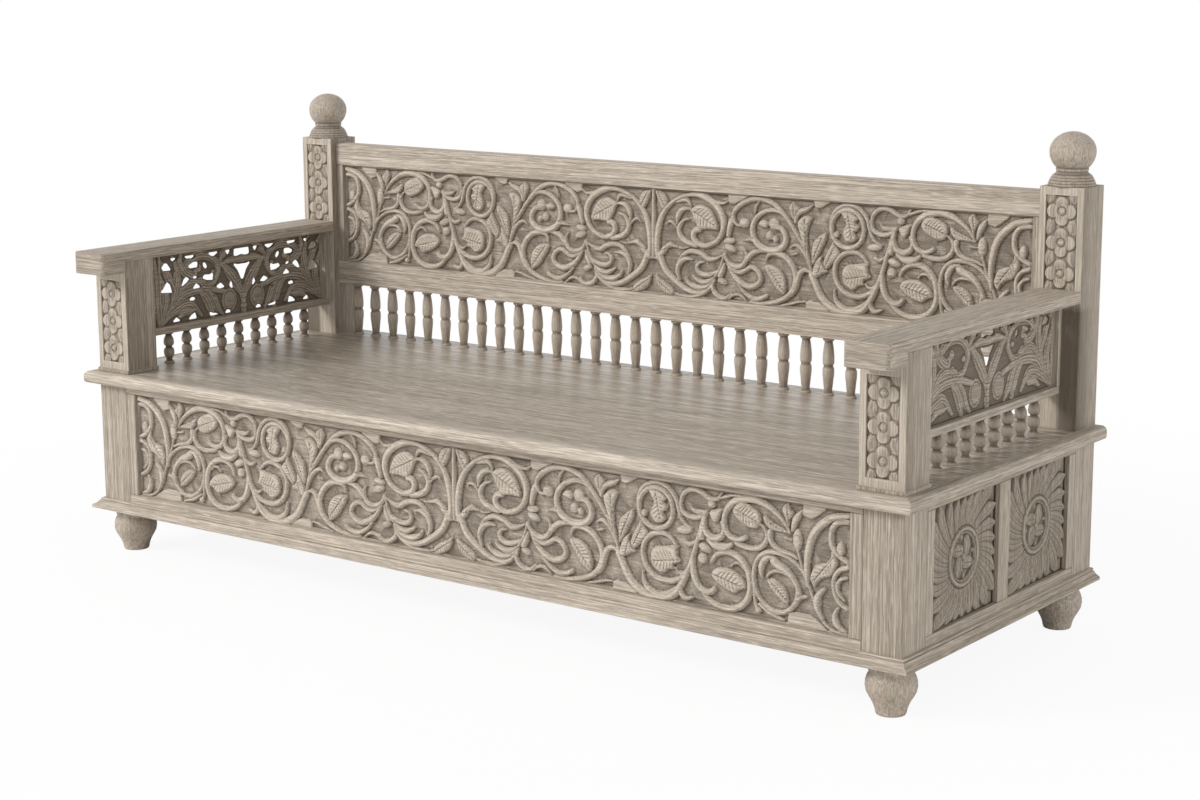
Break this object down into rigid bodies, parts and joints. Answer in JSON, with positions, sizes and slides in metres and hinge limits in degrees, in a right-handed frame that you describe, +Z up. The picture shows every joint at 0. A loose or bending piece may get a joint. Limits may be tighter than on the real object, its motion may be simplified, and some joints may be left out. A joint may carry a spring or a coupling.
{
  "type": "persian takht daybed",
  "caption": "Carved wooden daybed with a deep seat, scroll-carved front and back panels, pierced arm panels, turned spindles, ball finials and bulb feet.",
  "frame": {"origin": "on the floor under the middle of the whole outline", "axes": "+X along the length, -Y towards the open front of the seat, +Z up"},
  "size_m": [2.05, 0.792, 0.9613],
  "materials": {
    "frame_wood": "dry limed wood, open grain",
    "carved_wood": "dry limed wood, brown in the recesses",
    "seat_wood": "rubbed smooth, soft sheen",
    "turned_wood": "dry limed wood, speckled end grain"
  },
  "bodies": {
    "root": {"arm_lower_rail_left": "frame_wood", "arm_lower_rail_right": "frame_wood", "arm_panel_left": "carved_wood", "arm_panel_right": "carved_wood", "arm_post_left": "frame_wood", "arm_post_right": "frame_wood", "arm_rest_left": "frame_wood", "arm_rest_right": "frame_wood", "arm_spindles_left": "turned_wood", "arm_spindles_right": "turned_wood", "arm_stiles_left": "frame_wood", "arm_stiles_right": "frame_wood", "back_base_panels": "carved_wood", "back_bottom_rail": "frame_wood", "back_frame_uprights": "frame_wood", "back_post_left": "frame_wood", "back_post_right": "frame_wood", "back_spindles": "turned_wood", "back_top_rail": "frame_wood", "backrest_mid_rail": "frame_wood", "backrest_panel": "carved_wood", "backrest_stiles": "frame_wood", "backrest_top_rail": "frame_wood", "base_moulding_front": "frame_wood", "base_moulding_left": "frame_wood", "base_moulding_right": "frame_wood", "corner_post_back_left": "frame_wood", "corner_post_back_right": "frame_wood", "corner_post_front_left": "frame_wood", "corner_post_front_right": "frame_wood", "finial_left": "turned_wood", "finial_right": "turned_wood", "foot_back_left": "turned_wood", "foot_back_right": "turned_wood", "foot_front_left": "turned_wood", "foot_front_right": "turned_wood", "front_base_panels": "carved_wood", "front_bottom_rail": "frame_wood", "front_frame_uprights": "frame_wood", "front_top_rail": "frame_wood", "left_base_panels": "carved_wood", "left_bottom_rail": "frame_wood", "left_frame_uprights": "frame_wood", "left_top_rail": "frame_wood", "right_base_panels": "carved_wood", "right_bottom_rail": "frame_wood", "right_frame_uprights": "frame_wood", "right_top_rail": "frame_wood", "seat_bearers": "frame_wood", "seat_board": "seat_wood", "seat_nosing_front": "seat_wood", "seat_nosing_left": "seat_wood", "seat_nosing_right": "seat_wood"}
  },
  "joints": []
}
